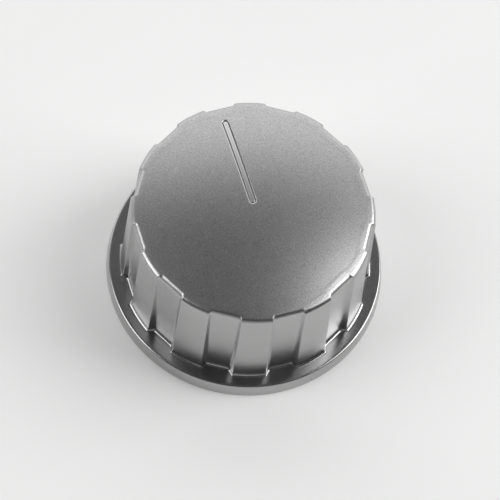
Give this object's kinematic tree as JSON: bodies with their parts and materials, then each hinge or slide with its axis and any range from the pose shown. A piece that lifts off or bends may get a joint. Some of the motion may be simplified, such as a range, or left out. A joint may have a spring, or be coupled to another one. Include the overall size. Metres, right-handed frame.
{
  "type": "dial knob",
  "caption": "Fluted push-on dial knob with a domed crown, an indicator groove, a base skirt and a spring-clamped hub for a D-shaped shaft.",
  "frame": {"origin": "on the knob's axis, in the plane that the skirt rests on", "axes": "+Z along the axis towards the crown, +Y along the indicator groove"},
  "size_m": [0.06, 0.06, 0.031],
  "materials": {
    "satin_chrome": "satin plating over moulded plastic",
    "spring_steel": "rolled strip, lightly oiled"
  },
  "bodies": {
    "root": {"knob_body": "satin_chrome", "hub_spring": "spring_steel"}
  },
  "joints": []
}
